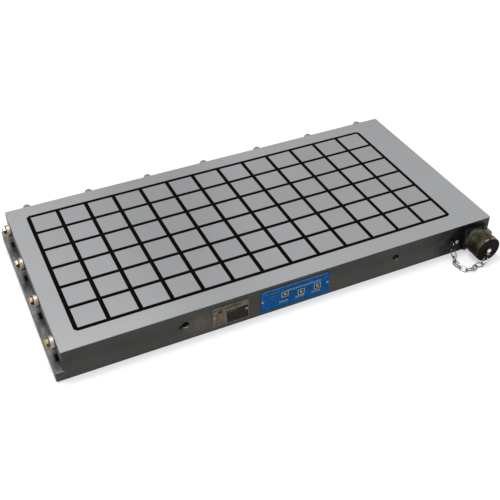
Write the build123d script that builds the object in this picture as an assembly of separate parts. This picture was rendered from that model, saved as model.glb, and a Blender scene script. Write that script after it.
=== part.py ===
"""Electro-permanent magnetic chuck for a milling table, in millimetres.

The origin is the centre of the underside. X runs along the length, Y runs from the operator's side to the
far side and Z points up. The underside lies at Z = 0 and the ground working face at Z = body_height.
"""

from build123d import *
from math import cos, radians, sin
import os

os.makedirs("parts", exist_ok=True)

# Working face: square steel poles in a grid of resin lines
pole_columns = 13
pole_rows = 6
pole_size = 48.0
pole_gap = 6.0
rim_gap = 6.0  # resin line between the outer poles and the body
pole_height = 23.0
pocket_corner = 8.0
resin_depth = 6.5

# Steel body with a clamping ledge at both ends
margin_left = 33.0
margin_right = 64.0
margin_near = 35.2
margin_far = 31.8
body_height = 59.0
floor_thickness = 14.0
ledge_width = 14.0
ledge_height = 18.5
corner_radius = 3.0
edge_break = 0.8
cut_overrun = 1.0  # how far a bore runs into the hollow that it opens

# Magnets and coils under the poles
magnet_size = 39.0
coil_wall = 5.0
coil_fit = 0.5  # between the coil and its magnet
coil_head_room = 0.6  # between the coil and the pole above
side_magnet_length = 40.0
side_magnet_height = 15.0
side_magnet_fit = 0.2  # on each side, between a magnet and its poles

# Wiring chamber in the wide right margin, closed from below
chamber_inner_wall = 10.0  # towards the magnets
chamber_outer_wall = 13.0
chamber_near_wall = 14.0
chamber_length = 140.0
chamber_roof = 14.0
chamber_corner = 6.0
passage_radius = 6.0
passage_height = 22.0  # centre above the underside
passage_from_near = 60.0
cover_lip = 8.0
cover_thickness = 3.2
cover_gasket_thickness = 0.8
cover_recess = 0.3
cover_fit = 0.3
cover_screw_radius = 2.0
cover_screw_head_radius = 3.8
cover_screw_length = 12.0
cover_screws_per_side = 3

# Threaded holes for lifting eyes, on both long sides
lift_hole_radius = 5.4
lift_hole_depth = 24.0
lift_hole_spacing = 400.0
lift_hole_height = 33.0
lift_hole_mouth = 1.2  # width of the countersink

# Eccentric stops on the left and far sides
stop_radius = 11.0
stop_thickness = 7.0
stop_eccentricity = 3.0
stop_drop = 2.5  # the lowered stop's top lies this far below the working face
stop_gap = 0.3  # running gap to the wall
stop_bore_fit = 0.3
stop_edge_break = 0.7
left_stop_count = 4
left_stop_pitch = 105.0
far_stop_count = 7
far_stop_pitch = 120.0
stop_screw_radius = 4.0
stop_screw_grip = 15.0  # thread in the body
stop_screw_across_flats = 13.0
stop_screw_head = 5.3
stop_screw_head_break = 1.0
stop_washer_radius = 8.0
stop_washer_thickness = 1.2
stop_washer_gap = 0.3

# Connector on the near side: distances out of the wall are measured along its axis
connector_height = 25.2
connector_gasket = 0.8
flange_size = 46.5
flange_thickness = 3.7
flange_corner = 3.5
flange_edge_break = 0.4
flange_screw_spacing = 37.5
flange_screw_radius = 2.0
flange_screw_head_radius = 3.5
flange_screw_head = 2.6
flange_screw_round = 0.9
flange_screw_grip = 5.5
screw_slot_width = 1.0  # here and in the chain's screw
screw_slot_depth = 1.0
shell_radius = 20.5
shell_bore_radius = 16.0
shell_front = 38.0
shell_edge_break = 0.8
shell_tail_radius = 17.8
shell_tail = 18.0  # reach behind the outside of the wall
shell_tail_fit = 0.4
insert_front = 36.6
insert_back = 16.0
contact_count = 4
contact_circle = 8.5
contact_radius = 3.0
contact_bore_radius = 1.9
contact_bore_depth = 14.0
contact_tail = 6.0  # behind the insert

# Dust cap: a fluted grip with a slightly wider plain end, screwed over the shell
cap_start = 14.5
cap_grip_end = 32.5
cap_end = 45.5
cap_grip_radius = 24.4
cap_end_radius = 24.8
cap_bore_fit = 0.35
cap_end_thickness = 5.5
cap_flutes = 24
cap_flute_radius = 1.5
cap_flute_depth = 0.6
cap_edge_break = 0.9
cap_liner_thickness = 2.0
cap_liner_hole_radius = 6.5
rivet_neck_radius = 2.0
rivet_head_radius = 4.2
rivet_head = 2.2
rivet_fit = 0.3
rivet_tail_head = 1.2
rivet_head_round = 1.4

# Chain between the cap and the wall
tab_thickness = 1.2
tab_width = 8.0
tab_reach = 12.2  # from screw or rivet to the chain hole
tab_joggle = 4.7
tab_root_extra = 1.6  # flat past the screw's or rivet's head
tab_rise_run = 1.6
tab_hole_radius = 3.0
tab_hole_play = 1.0  # under the first link's wire
wall_tab_angle = 166.0  # turned from the direction to the right, seen from the operator
cap_tab_angle = 250.0
chain_screw_height = 26.2
chain_screw_radius = 2.0
chain_screw_head_radius = 3.8
chain_screw_head = 2.4
chain_screw_grip = 8.0
chain_screw_round = 1.0
link_wire_radius = 1.0
link_inner_length = 13.6
link_inner_width = 5.5
link_slack = 1.0
link_rest_gap = 0.15  # above the table
link_level_drop = 0.4  # a flat link's middle below a standing link's half width

# Plates on the near side
plate_thickness = 0.8
plate_corner = 1.5
data_plate_length = 65.0
data_plate_height = 41.0
data_plate_centre = -120.4
data_plate_level = 28.2
colour_plate_length = 131.0
colour_plate_height = 45.0
colour_plate_centre = -0.4
colour_plate_level = 28.5
plate_rivet_radius = 1.6
plate_rivet_head_radius = 2.6
plate_rivet_head = 0.8
plate_rivet_break = 0.5
plate_rivet_grip = 4.0
plate_rivet_inset = 3.6

# Terminal block in the wiring chamber
terminal_size = 24.0
terminal_length = 34.0
terminal_gap = 26.0  # from the connector's tail to the block
terminal_screw_radius = 2.6
terminal_screw_height = 1.0
lead_radius = 1.5

UP = Vector(0, 0, 1)
LEFT_WALL = Vector(-1, 0, 0)
FAR_WALL = Vector(0, 1, 0)
NEAR_WALL = Vector(0, -1, 0)

# Sizes that follow from the ones above
field_length = pole_columns * pole_size + (pole_columns - 1) * pole_gap
field_depth = pole_rows * pole_size + (pole_rows - 1) * pole_gap
pocket_length = field_length + 2 * rim_gap
pocket_depth = field_depth + 2 * rim_gap
body_length = pocket_length + margin_left + margin_right
body_depth = pocket_depth + margin_near + margin_far
left_x = -body_length / 2
right_x = body_length / 2
near_y = -body_depth / 2
far_y = body_depth / 2
pocket_x = left_x + margin_left
pocket_y = near_y + margin_near
pole_bottom = body_height - pole_height
resin_bottom = body_height - resin_depth
chamber_x0 = pocket_x + pocket_length + chamber_inner_wall
chamber_x1 = right_x - chamber_outer_wall
chamber_y0 = near_y + chamber_near_wall
chamber_y1 = chamber_y0 + chamber_length
cover_depth = cover_thickness + cover_gasket_thickness + cover_recess
connector_x = (chamber_x0 + chamber_x1) / 2
flange_front = connector_gasket + flange_thickness
cap_floor = cap_end - cap_end_thickness
cap_bore_radius = shell_radius + cap_bore_fit
stop_axis_height = body_height - stop_drop - stop_radius + stop_eccentricity
stop_bore_radius = stop_screw_radius + stop_bore_fit
stop_outside = stop_gap + stop_thickness
link_pitch = link_inner_length - link_slack
link_half_width = link_inner_width / 2 + link_wire_radius


def block(x0, x1, y0, y1, z0, z1, corner=0.0):
    """A box between three pairs of coordinates, with rounded vertical corners if asked."""
    middle = Pos((x0 + x1) / 2, (y0 + y1) / 2, z0)
    if corner > 0:
        return middle * extrude(RectangleRounded(x1 - x0, y1 - y0, corner), z1 - z0)
    return middle * Box(x1 - x0, y1 - y0, z1 - z0, align=(Align.CENTER, Align.CENTER, Align.MIN))


def rod(radius, z0, z1, x=0.0, y=0.0):
    """A cylinder along the local Z axis, from z0 to z1."""
    upright = (Align.CENTER, Align.CENTER, Align.MIN)
    return Pos(x, y, z0) * Cylinder(radius, z1 - z0, align=upright)


def wall_plane(x, y, z, out):
    """A plane on a side wall: local Z points out of the wall and local Y points up."""
    return Plane(origin=(x, y, z), x_dir=UP.cross(out), z_dir=out)


def save(node, solids):
    """Writes one node, which may hold several separate solids."""
    shapes = solids if isinstance(solids, list) else [solids]
    flat = [solid for shape in shapes for solid in shape.solids()]
    shape = flat[0] if len(flat) == 1 else Compound(children=flat)
    shape.label = node
    export_step(shape, f"parts/{node}.step")


def column_span(column):
    """The X range of one column of poles."""
    x0 = pocket_x + rim_gap + column * (pole_size + pole_gap)
    return x0, x0 + pole_size


def row_span(row):
    """The Y range of one row of poles."""
    y0 = pocket_y + rim_gap + row * (pole_size + pole_gap)
    return y0, y0 + pole_size


def pole_centre(column, row):
    """The centre of a pole in plan."""
    return sum(column_span(column)) / 2, sum(row_span(row)) / 2


def poles(row):
    """One row of square pole pieces, ground flush with the working face."""
    y0, y1 = row_span(row)
    spans = [column_span(column) for column in range(pole_columns)]
    return [block(x0, x1, y0, y1, pole_bottom, body_height) for x0, x1 in spans]


def core_magnets(row):
    """The reversible magnets of one row: each stands on the floor and carries a pole."""
    centres = [pole_centre(column, row) for column in range(pole_columns)]
    half = magnet_size / 2
    return [block(x - half, x + half, y - half, y + half, floor_thickness, pole_bottom) for x, y in centres]


def coils(row):
    """The coils of one row, each wound round its magnet."""
    inner = magnet_size / 2 + coil_fit
    outer = inner + coil_wall
    top = pole_bottom - coil_head_room
    made = []
    for column in range(pole_columns):
        x, y = pole_centre(column, row)
        winding = block(x - outer, x + outer, y - outer, y + outer, floor_thickness, top)
        made.append(winding - block(x - inner, x + inner, y - inner, y + inner, floor_thickness, top))
    return made


def cross_magnets():
    """Fixed magnets between neighbouring columns."""
    z0 = resin_bottom - side_magnet_height
    made = []
    for row in range(pole_rows):
        for column in range(pole_columns - 1):
            y = pole_centre(column, row)[1]
            x0 = column_span(column)[1] + side_magnet_fit
            x1 = column_span(column + 1)[0] - side_magnet_fit
            half = side_magnet_length / 2
            made.append(block(x0, x1, y - half, y + half, z0, resin_bottom))
    return made


def long_magnets():
    """Fixed magnets between neighbouring rows."""
    z0 = resin_bottom - side_magnet_height
    made = []
    for row in range(pole_rows - 1):
        for column in range(pole_columns):
            x = pole_centre(column, row)[0]
            y0 = row_span(row)[1] + side_magnet_fit
            y1 = row_span(row + 1)[0] - side_magnet_fit
            half = side_magnet_length / 2
            made.append(block(x - half, x + half, y0, y1, z0, resin_bottom))
    return made


def pocket(z0, z1):
    """The outline of the magnet pocket between two heights."""
    return block(
        pocket_x, pocket_x + pocket_length, pocket_y, pocket_y + pocket_depth, z0, z1, pocket_corner
    )


def resin_grid():
    """The black resin that seals the gaps round the poles, level with the working face."""
    grid = pocket(resin_bottom, body_height)
    for row in range(pole_rows):
        y0, y1 = row_span(row)
        holes = []
        for column in range(pole_columns):
            x0, x1 = column_span(column)
            holes.append(block(x0, x1, y0, y1, resin_bottom, body_height))
        grid = grid - holes
    return grid


def stop_planes():
    """The screw axes of the eccentric stops, left side first."""
    left = [
        wall_plane(left_x, (i - (left_stop_count - 1) / 2) * left_stop_pitch, stop_axis_height, LEFT_WALL)
        for i in range(left_stop_count)
    ]
    far = [
        wall_plane((i - (far_stop_count - 1) / 2) * far_stop_pitch, far_y, stop_axis_height, FAR_WALL)
        for i in range(far_stop_count)
    ]
    return left, far


def stop():
    """One eccentric stop in its lowered place, about its screw axis."""
    disc = rod(stop_radius, stop_gap, stop_outside, 0, -stop_eccentricity)
    disc = chamfer(disc.edges().filter_by(GeomType.CIRCLE), stop_edge_break)
    return disc - rod(stop_bore_radius, stop_gap, stop_outside)


def stop_washer():
    """A plain washer between the stop and the screw's head."""
    start = stop_outside + stop_washer_gap
    end = start + stop_washer_thickness
    return rod(stop_washer_radius, start, end) - rod(stop_screw_radius, start, end)


def stop_screw():
    """A hexagon-headed shoulder screw: a stop turns on its shank."""
    start = stop_outside + stop_washer_gap + stop_washer_thickness
    flats = RegularPolygon(stop_screw_across_flats / 2, 6, major_radius=False)
    head = Pos(0, 0, start) * extrude(flats, stop_screw_head)
    dome = rod(stop_screw_across_flats / 2 / cos(radians(30)), start, start + stop_screw_head)
    dome = chamfer(dome.edges().sort_by(Axis.Z)[-1], stop_screw_head_break)
    return (head & dome) + rod(stop_screw_radius, -stop_screw_grip, start)


def lift_planes():
    """The axes of the four lifting holes."""
    half = lift_hole_spacing / 2
    near = [wall_plane(x, near_y, lift_hole_height, NEAR_WALL) for x in (-half, half)]
    far = [wall_plane(x, far_y, lift_hole_height, FAR_WALL) for x in (-half, half)]
    return near + far


def lift_hole():
    """A blind threaded hole with a countersunk mouth."""
    mouth = Pos(0, 0, -lift_hole_mouth / 2) * Cone(
        lift_hole_radius, lift_hole_radius + lift_hole_mouth, lift_hole_mouth
    )
    return rod(lift_hole_radius, -lift_hole_depth, 0) + mouth


def connector_plane():
    """The axis of the connector."""
    return wall_plane(connector_x, near_y, connector_height, NEAR_WALL)


def flange_screw_places():
    """The four screw places of the connector's flange, on its own plane."""
    half = flange_screw_spacing / 2
    return [(x, y) for x in (-half, half) for y in (-half, half)]


def cover_outline(z0, z1, shrink=0.0):
    """The wiring cover's outline, or a smaller one that fits inside it."""
    reach = cover_lip - shrink
    return block(
        chamber_x0 - reach,
        chamber_x1 + reach,
        chamber_y0 - reach,
        chamber_y1 + reach,
        z0,
        z1,
        chamber_corner + reach,
    )


def cover_screw_places():
    """The screws of the wiring cover, along both long sides."""
    half_lip = cover_lip / 2
    step = (chamber_y1 - chamber_y0) / cover_screws_per_side
    ys = [chamber_y0 + (i + 0.5) * step for i in range(cover_screws_per_side)]
    return [(x, y) for x in (chamber_x0 - half_lip, chamber_x1 + half_lip) for y in ys]


def body_block():
    """The steel body: pocket, ledges, wiring chamber and every hole."""
    upper = block(left_x, right_x, near_y, far_y, 0, body_height, corner_radius)
    upper = chamfer(upper.faces().sort_by(Axis.Z)[-1].edges(), edge_break)
    lower = block(
        left_x - ledge_width, right_x + ledge_width, near_y, far_y, 0, ledge_height, corner_radius
    )
    lower = chamfer(lower.faces().sort_by(Axis.Z)[-1].edges(), edge_break)
    body = upper + lower
    body = body - pocket(floor_thickness, body_height)
    chamber = block(
        chamber_x0, chamber_x1, chamber_y0, chamber_y1, 0, body_height - chamber_roof, chamber_corner
    )
    body = body - chamber - cover_outline(0, cover_depth)
    passage = Pos(0, chamber_y0 + passage_from_near, passage_height) * Rot(0, 90, 0)
    start, end = pocket_x + pocket_length - cut_overrun, chamber_x0 + cut_overrun
    body = body - passage * rod(passage_radius, start, end)
    bore_depth = chamber_near_wall + cut_overrun
    body = body - connector_plane() * rod(shell_tail_radius + shell_tail_fit, -bore_depth, 0)
    for x, y in flange_screw_places():
        body = body - connector_plane() * rod(flange_screw_radius, -flange_screw_grip, 0, x, y)
    for x, y in cover_screw_places():
        body = body - rod(cover_screw_radius, 0, cover_screw_length, x, y)
    for plane in lift_planes():
        body = body - plane * lift_hole()
    left, far = stop_planes()
    for plane in left + far:
        body = body - plane * rod(stop_screw_radius, -stop_screw_grip, 0)
    body = body - chain_screw_plane() * rod(chain_screw_radius, -chain_screw_grip, 0)
    for x, z in plate_rivet_places():
        body = body - wall_plane(x, near_y, z, NEAR_WALL) * rod(plate_rivet_radius, -plate_rivet_grip, 0)
    return body


def wiring_cover():
    """The plate that closes the wiring chamber, set into the underside."""
    z1 = cover_recess + cover_thickness
    cover = cover_outline(cover_recess, z1, cover_fit)
    for x, y in cover_screw_places():
        cover = cover - cover_screw_head(x, y) - rod(cover_screw_radius, cover_recess, z1, x, y)
    return cover


def cover_screw_head(x, y):
    """A countersunk head that lies flush in the cover."""
    height = cover_screw_head_radius - cover_screw_radius
    return Pos(x, y, cover_recess + height / 2) * Cone(cover_screw_head_radius, cover_screw_radius, height)


def cover_screws():
    """The countersunk screws of the wiring cover."""
    places = cover_screw_places()
    return [
        cover_screw_head(x, y) + rod(cover_screw_radius, cover_recess, cover_screw_length, x, y)
        for x, y in places
    ]


def cover_gasket():
    """The flat seal between the cover and the body."""
    z0 = cover_recess + cover_thickness
    z1 = z0 + cover_gasket_thickness
    gasket = cover_outline(z0, z1, cover_fit)
    gasket = gasket - block(chamber_x0, chamber_x1, chamber_y0, chamber_y1, z0, z1, chamber_corner)
    for x, y in cover_screw_places():
        gasket = gasket - rod(cover_screw_radius, z0, z1, x, y)
    return gasket


def connector_gasket_ring():
    """The flat seal under the connector's flange."""
    ring = extrude(RectangleRounded(flange_size, flange_size, flange_corner), connector_gasket)
    ring = ring - rod(shell_tail_radius + shell_tail_fit, 0, connector_gasket)
    for x, y in flange_screw_places():
        ring = ring - rod(flange_screw_radius, 0, connector_gasket, x, y)
    return ring


def receptacle_shell():
    """The metal shell of the connector: square flange, threaded barrel and tail."""
    flange = extrude(RectangleRounded(flange_size, flange_size, flange_corner), flange_thickness)
    flange = chamfer(flange.faces().sort_by(Axis.Z)[-1].edges(), flange_edge_break)
    barrel = rod(shell_radius, flange_front, shell_front)
    barrel = chamfer(barrel.edges().sort_by(Axis.Z)[-1], shell_edge_break)
    shell = Pos(0, 0, connector_gasket) * flange + barrel
    shell = shell + rod(shell_tail_radius, -shell_tail, connector_gasket)
    shell = shell - rod(shell_bore_radius, -shell_tail, shell_front)
    for x, y in flange_screw_places():
        shell = shell - rod(flange_screw_radius, connector_gasket, flange_front, x, y)
    return shell


def contact_places():
    """The contacts' places on their circle."""
    turns = [360 / contact_count * (i + 0.5) for i in range(contact_count)]
    return [(contact_circle * cos(radians(a)), contact_circle * sin(radians(a))) for a in turns]


def receptacle_insert():
    """The moulded insulator that holds the contacts."""
    insert = rod(shell_bore_radius, -insert_back, insert_front)
    for x, y in contact_places():
        insert = insert - rod(contact_radius, -insert_back, insert_front, x, y)
    return insert


def contacts():
    """The socket contacts, open to the front and with a solder tail behind."""
    made = []
    for x, y in contact_places():
        contact = rod(contact_radius, -insert_back - contact_tail, insert_front, x, y)
        bore_end = insert_front - contact_bore_depth
        made.append(contact - rod(contact_bore_radius, bore_end, insert_front, x, y))
    return made


def flange_screws():
    """The round-headed screws of the connector's flange."""
    made = []
    for x, y in flange_screw_places():
        head = rod(flange_screw_head_radius, flange_front, flange_front + flange_screw_head)
        head = fillet(head.edges().sort_by(Axis.Z)[-1], flange_screw_round)
        head = head + rod(flange_screw_radius, -flange_screw_grip, flange_front)
        top = flange_front + flange_screw_head
        reach, half = flange_screw_head_radius, screw_slot_width / 2
        slot = block(-reach, reach, -half, half, top - screw_slot_depth, top)
        made.append(Pos(x, y, 0) * (head - slot))
    return made


def cap_shell():
    """The dust cap: a cup with a fluted grip and a slightly wider plain end."""
    grip = chamfer(rod(cap_grip_radius, cap_start, cap_grip_end).edges(), cap_edge_break)
    end = chamfer(rod(cap_end_radius, cap_grip_end, cap_end).edges(), cap_edge_break)
    cap = grip + end
    groove_x = cap_grip_radius + cap_flute_radius - cap_flute_depth
    flute = rod(cap_flute_radius, cap_start, cap_grip_end, groove_x)
    for i in range(cap_flutes):
        cap = cap - Rot(0, 0, 360 / cap_flutes * i) * flute
    cap = cap - rod(cap_bore_radius, cap_start, cap_floor)
    cap = cap - rod(rivet_neck_radius + rivet_fit, cap_floor, cap_end)
    tail_room = rivet_tail_head + 2 * rivet_fit
    return cap - rod(rivet_head_radius + rivet_fit, cap_floor, cap_floor + tail_room)


def cap_liner():
    """The rubber ring that seals against the barrel's front."""
    start = cap_floor - cap_liner_thickness
    return rod(cap_bore_radius, start, cap_floor) - rod(cap_liner_hole_radius, start, cap_floor)


def cap_rivet():
    """The swivel rivet: the cap turns about its neck, and it holds the chain's tab."""
    tab_top = cap_end + rivet_fit + tab_thickness
    tail_start = cap_floor + rivet_fit
    head = rod(rivet_head_radius, tab_top, tab_top + rivet_head)
    head = fillet(head.edges().sort_by(Axis.Z)[-1], rivet_head_round)
    tail = rod(rivet_head_radius, tail_start, tail_start + rivet_tail_head)
    return head + rod(rivet_neck_radius, tail_start, tab_top) + tail


def tab(hole_radius):
    """A sheet tab along local X: its root lies at local Z = 0 and its end is joggled out."""
    half = tab_width / 2
    root_end = half + tab_root_extra
    rise_end = root_end + tab_rise_run
    end = tab_reach + half
    edge = [(-half, 0), (root_end, 0), (rise_end, tab_joggle), (end, tab_joggle)]
    slope_shift = tab_thickness / 2
    back = [(end, tab_joggle + tab_thickness), (rise_end - slope_shift, tab_joggle + tab_thickness)]
    back = back + [(root_end - slope_shift, tab_thickness), (-half, tab_thickness)]
    strip = extrude(Plane.XZ * make_face(Polyline(*(edge + back), close=True)), half, both=True)
    outline = extrude(SlotCenterPoint((tab_reach / 2, 0), (tab_reach, 0), tab_width), 2 * tab_joggle)
    strip = strip & outline
    strip = strip - rod(hole_radius, 0, tab_thickness)
    return strip - rod(tab_hole_radius, tab_joggle, tab_joggle + tab_thickness, tab_reach)


def chain_screw_plane():
    """The axis of the screw that holds the chain to the wall, where the chain comes to it."""
    return wall_plane(chain_screw_x(), near_y, chain_screw_height, NEAR_WALL)


def wall_tab_turn():
    """The wall tab points left and a little up."""
    return Rot(0, 0, wall_tab_angle)


def cap_tab_turn():
    """The cap's tab hangs down and a little to the left."""
    return Rot(0, 0, cap_tab_angle)


def chain_screw():
    """The screw that holds the wall tab."""
    top = tab_thickness + chain_screw_head
    head = rod(chain_screw_head_radius, tab_thickness, top)
    head = fillet(head.edges().sort_by(Axis.Z)[-1], chain_screw_round)
    reach, half = chain_screw_head_radius, screw_slot_width / 2
    head = head - block(-reach, reach, -half, half, top - screw_slot_depth, top)
    return head + rod(chain_screw_radius, -chain_screw_grip, tab_thickness)


def link(centre, along, across):
    """One chain link, with its long axis along one direction and its width across it."""
    half = link_inner_length / 2 - link_inner_width / 2
    ring = link_half_width
    path = Wire(
        [
            Edge.make_line((-half, ring, 0), (half, ring, 0)),
            Edge.make_three_point_arc((half, ring, 0), (half + ring, 0, 0), (half, -ring, 0)),
            Edge.make_line((half, -ring, 0), (-half, -ring, 0)),
            Edge.make_three_point_arc((-half, -ring, 0), (-half - ring, 0, 0), (-half, ring, 0)),
        ]
    )
    section = Plane(origin=(-half, ring, 0), z_dir=(1, 0, 0)) * Circle(link_wire_radius)
    solid = sweep(section, path=path)
    normal = along.cross(across)
    return Plane(origin=centre, x_dir=along, z_dir=normal) * solid


def table_link(start, end, roll):
    """A link that lies on the table, tipped about its long axis by roll degrees from upright."""
    along = (end - start).normalized()
    side = UP.cross(along)
    across = UP * cos(radians(roll)) + side * sin(radians(roll))
    middle = (start + end) * 0.5
    half_height = link_half_width * abs(cos(radians(roll))) + link_wire_radius
    level = max(half_height + link_rest_gap, link_half_width - link_level_drop)
    return link(Vector(middle.X, middle.Y, level), along, across)


def hole_of_wall_tab(screw_x):
    """The chain hole of the wall tab, at mid thickness."""
    place = wall_plane(screw_x, near_y, chain_screw_height, NEAR_WALL).location * wall_tab_turn()
    return (place * Pos(tab_reach, 0, tab_joggle + tab_thickness / 2)).position


def hole_of_cap_tab():
    """The chain hole of the cap's tab, at mid thickness."""
    place = connector_plane().location * Pos(0, 0, cap_end + rivet_fit) * cap_tab_turn()
    return (place * Pos(tab_reach, 0, tab_joggle + tab_thickness / 2)).position


def first_joint(hole, along):
    """The joint point of a link whose end wire lies in a tab's hole."""
    seat = tab_hole_radius - link_wire_radius - tab_hole_play
    return hole + along * (seat + link_wire_radius + link_slack / 2)


def heading(degrees_from_x):
    """A level direction."""
    return Vector(cos(radians(degrees_from_x)), sin(radians(degrees_from_x)), 0)


def free_links(joint, across, first_step, route):
    """One sloping link from a tab, then links along the table: pairs of heading and roll."""
    foot = joint + first_step * link_pitch
    level_across = (across - first_step * first_step.dot(across)).normalized()
    links = [link((joint + foot) * 0.5, first_step, level_across)]
    for angle, roll in route:
        step = heading(angle) * link_pitch
        links.append(table_link(foot, foot + step, roll))
        foot = foot + step
    return links, foot


def cap_chain():
    """The links that move with the cap, from its tab to the slack pair, and their last joint."""
    out = Vector(-8.5, -3.2, -5.67).normalized()
    joint = first_joint(hole_of_cap_tab(), out)
    route = [(165.2, -26.3), (211.9, 89.7), (164.9, 17.3), (119, 134.2), (90, 45.2)]
    return free_links(joint, NEAR_WALL, out, route)


def wall_chain(screw_x):
    """The links that stay with the body, from the wall tab to the slack pair, and their last joint."""
    down = Vector(0, -0.2, -1).normalized()
    joint = first_joint(hole_of_wall_tab(screw_x), down)
    across = (NEAR_WALL - down * down.dot(NEAR_WALL)).normalized()
    top_link = link(joint + down * (link_pitch / 2), down, across)
    lean = Vector(0.05, -0.99, -1).normalized()
    route = [(229.9, -36.6), (270, 45.2)]
    links, foot = free_links(joint + down * link_pitch, heading(332.5), lean, route)
    return [top_link] + links, foot


def chain_screw_x():
    """The screw's place along the wall, which brings both ends of the chain in line."""
    return cap_chain()[1].X - wall_chain(0)[1].X


def plate_rivet_places():
    """The rivets of both plates, at mid height near each end."""
    places = []
    for centre, length, level in (
        (data_plate_centre, data_plate_length, data_plate_level),
        (colour_plate_centre, colour_plate_length, colour_plate_level),
    ):
        half = length / 2 - plate_rivet_inset
        places = places + [(centre - half, level), (centre + half, level)]
    return places


def near_plate(centre, level, length, height):
    """A thin plate on the near side, with holes for its rivets."""
    plate = extrude(RectangleRounded(length, height, plate_corner), plate_thickness)
    half = length / 2 - plate_rivet_inset
    for x in (-half, half):
        plate = plate - rod(plate_rivet_radius, 0, plate_thickness, x)
    return wall_plane(centre, near_y, level, NEAR_WALL) * plate


def plate_rivets():
    """The drive rivets of the plates."""
    made = []
    for x, z in plate_rivet_places():
        head = rod(plate_rivet_head_radius, plate_thickness, plate_thickness + plate_rivet_head)
        head = chamfer(head.edges().sort_by(Axis.Z)[-1], plate_rivet_break)
        rivet = head + rod(plate_rivet_radius, -plate_rivet_grip, plate_thickness)
        made.append(wall_plane(x, near_y, z, NEAR_WALL) * rivet)
    return made


def terminal_level():
    """The underside of the terminal block, which hangs from the chamber's roof."""
    return body_height - chamber_roof - terminal_size


def terminal_start():
    """The near end of the terminal block."""
    return near_y + shell_tail + terminal_gap


def terminal_block():
    """The insulated block in which the coil leads meet the connector's leads."""
    half = terminal_size / 2
    y0 = terminal_start()
    base = terminal_level()
    housing = block(
        connector_x - half, connector_x + half, y0, y0 + terminal_length, base, base + terminal_size
    )
    for x, y in terminal_screw_places():
        housing = housing - rod(terminal_screw_radius, base, base + 2 * terminal_screw_height, x, y)
    return housing


def terminal_screw_places():
    """The clamp screws, seen from below with the cover off."""
    quarter = terminal_length / 4
    y0 = terminal_start()
    xs = (connector_x - terminal_size / 4, connector_x + terminal_size / 4)
    return [(x, y) for x in xs for y in (y0 + quarter, y0 + 3 * quarter)]


def terminal_screws():
    """The brass clamp screws of the terminal block."""
    base = terminal_level()
    places = terminal_screw_places()
    return [
        rod(terminal_screw_radius, base + terminal_screw_height, base + 2 * terminal_screw_height, x, y)
        for x, y in places
    ]


def lead_wires():
    """Straight leads from the contacts' tails to the terminal block."""
    tail = insert_back + contact_tail
    reach = shell_tail + terminal_gap
    return [connector_plane() * rod(lead_radius, -reach, -tail, x, y) for x, y in contact_places()]


for index in range(pole_rows):
    save(f"poles_row_{index + 1}", poles(index))
    save(f"core_magnets_row_{index + 1}", core_magnets(index))
    save(f"coils_row_{index + 1}", coils(index))
save("cross_magnets", cross_magnets())
save("long_magnets", long_magnets())
save("resin_grid", resin_grid())
save("body_block", body_block())

left_planes, far_planes = stop_planes()
for side, planes in (("left", left_planes), ("far", far_planes)):
    for index, plane in enumerate(planes):
        save(f"{side}_stop_{index + 1}", plane * stop())
save("stop_screws", [plane * stop_screw() for plane in left_planes + far_planes])
save("stop_washers", [plane * stop_washer() for plane in left_planes + far_planes])

mouth = connector_plane()
save("connector_gasket", mouth * connector_gasket_ring())
save("receptacle_shell", mouth * receptacle_shell())
save("receptacle_insert", mouth * receptacle_insert())
save("contacts", [mouth * contact for contact in contacts()])
save("flange_screws", [mouth * screw for screw in flange_screws()])
save("dust_cap", mouth * cap_shell())
save("dust_cap_liner", mouth * cap_liner())
save("cap_rivet", mouth * cap_rivet())
cap_tab = Pos(0, 0, cap_end + rivet_fit) * cap_tab_turn() * tab(rivet_neck_radius)
save("cap_chain_tab", mouth * cap_tab)
save("wall_chain_tab", chain_screw_plane() * wall_tab_turn() * tab(chain_screw_radius))
save("chain_screw", chain_screw_plane() * chain_screw())
save("chain_cap_links", cap_chain()[0])
save("chain_wall_links", wall_chain(chain_screw_x())[0])

save("wiring_cover", wiring_cover())
save("cover_gasket", cover_gasket())
save("cover_screws", cover_screws())
save("terminal_block", terminal_block())
save("terminal_screws", terminal_screws())
save("lead_wires", lead_wires())
save("data_plate", near_plate(data_plate_centre, data_plate_level, data_plate_length, data_plate_height))
save(
    "colour_plate",
    near_plate(colour_plate_centre, colour_plate_level, colour_plate_length, colour_plate_height),
)
save("plate_rivets", plate_rivets())
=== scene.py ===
# %% [markdown]
# A magnetic chuck is a flat steel plate that holds workpieces on a milling table.
# This lesson dresses its finished solids with believable metal, resin, rubber and printed plates.
# The solids come first, because every finish and every small added piece is placed on them.
# They are loaded as they are, in metres, and stay exactly where they are.

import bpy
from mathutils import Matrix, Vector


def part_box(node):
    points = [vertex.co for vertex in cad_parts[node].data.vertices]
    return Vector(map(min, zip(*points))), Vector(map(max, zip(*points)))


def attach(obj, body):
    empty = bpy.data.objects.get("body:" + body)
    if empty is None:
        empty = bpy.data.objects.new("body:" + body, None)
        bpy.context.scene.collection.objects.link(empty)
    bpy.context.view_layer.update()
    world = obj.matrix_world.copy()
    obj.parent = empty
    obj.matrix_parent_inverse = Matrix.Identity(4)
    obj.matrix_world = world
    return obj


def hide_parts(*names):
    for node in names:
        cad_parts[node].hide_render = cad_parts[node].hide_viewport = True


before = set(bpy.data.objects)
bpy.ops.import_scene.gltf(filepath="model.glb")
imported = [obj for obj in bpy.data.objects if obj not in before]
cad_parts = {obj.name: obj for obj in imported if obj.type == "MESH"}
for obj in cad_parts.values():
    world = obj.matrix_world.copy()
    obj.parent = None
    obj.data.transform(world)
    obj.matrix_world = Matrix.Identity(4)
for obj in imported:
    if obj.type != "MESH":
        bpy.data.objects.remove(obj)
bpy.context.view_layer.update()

# %% [markdown]
# Blender's Python module gives the scene, and its vector module does the sums in space.
# The sizes below are those of the real chuck, taken once and used by name from here on.
# A millimetre gets a name as well, so that sizes can be written as a machinist reads them.

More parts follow.
